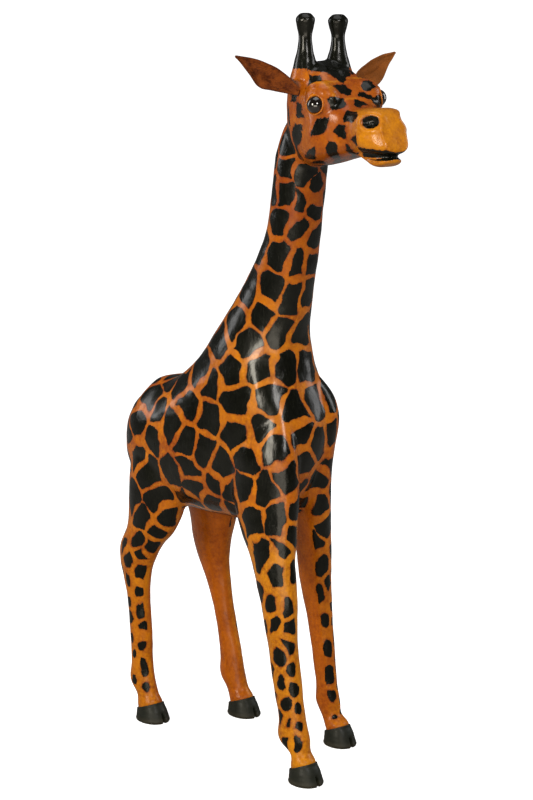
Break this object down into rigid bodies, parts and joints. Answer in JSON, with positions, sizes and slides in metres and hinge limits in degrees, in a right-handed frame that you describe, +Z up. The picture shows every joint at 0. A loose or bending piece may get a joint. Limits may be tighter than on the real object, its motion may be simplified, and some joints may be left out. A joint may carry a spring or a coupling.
{
  "type": "giraffe statue",
  "caption": "Standing giraffe figure with a long neck, horns and leaf-shaped ears: painted leather glued over shaped cores, on cloven hooves.",
  "frame": {"origin": "on the floor, under the middle of the overall box", "axes": "+Z up, the giraffe faces -Y, its right side is -X"},
  "size_m": [0.2797, 0.6599, 1.226],
  "materials": {
    "painted_hide": "orange dyed leather, hand-painted with near-black patches and lacquered",
    "black_hide": "leather painted glossy black",
    "ear_hide": "bare brown leather with a matt fibrous flesh side",
    "paper_core": "raw papier-mache",
    "wood_core": "raw whittled softwood",
    "hoof_paint": "whittled wood with dark green-black satin paint",
    "eye_glass": "opaque glossy black glass",
    "armature_steel": "plain drawn rod"
  },
  "bodies": {
    "root": {"torso_core": "paper_core", "neck_core": "paper_core", "head_core": "paper_core", "jaw_core": "wood_core", "torso_skin_right": "painted_hide", "torso_skin_left": "painted_hide", "neck_skin": "painted_hide", "head_skin": "painted_hide", "jaw_skin": "painted_hide", "right_eyelid": "painted_hide", "left_eyelid": "painted_hide", "tail_skin": "painted_hide", "right_fore_leg_core": "wood_core", "right_fore_leg_skin": "painted_hide", "right_fore_leg_rod": "armature_steel", "right_fore_hoof": "hoof_paint", "left_fore_leg_core": "wood_core", "left_fore_leg_skin": "painted_hide", "left_fore_leg_rod": "armature_steel", "left_fore_hoof": "hoof_paint", "right_hind_leg_core": "wood_core", "right_hind_leg_skin": "painted_hide", "right_hind_leg_rod": "armature_steel", "right_hind_hoof": "hoof_paint", "left_hind_leg_core": "wood_core", "left_hind_leg_skin": "painted_hide", "left_hind_leg_rod": "armature_steel", "left_hind_hoof": "hoof_paint", "right_horn_core": "wood_core", "right_horn_skin": "black_hide", "right_ear": "ear_hide", "right_eye": "eye_glass", "left_horn_core": "wood_core", "left_horn_skin": "black_hide", "left_ear": "ear_hide", "left_eye": "eye_glass", "tail_core": "wood_core", "tail_tuft": "black_hide", "spine_rod": "armature_steel"}
  },
  "joints": []
}
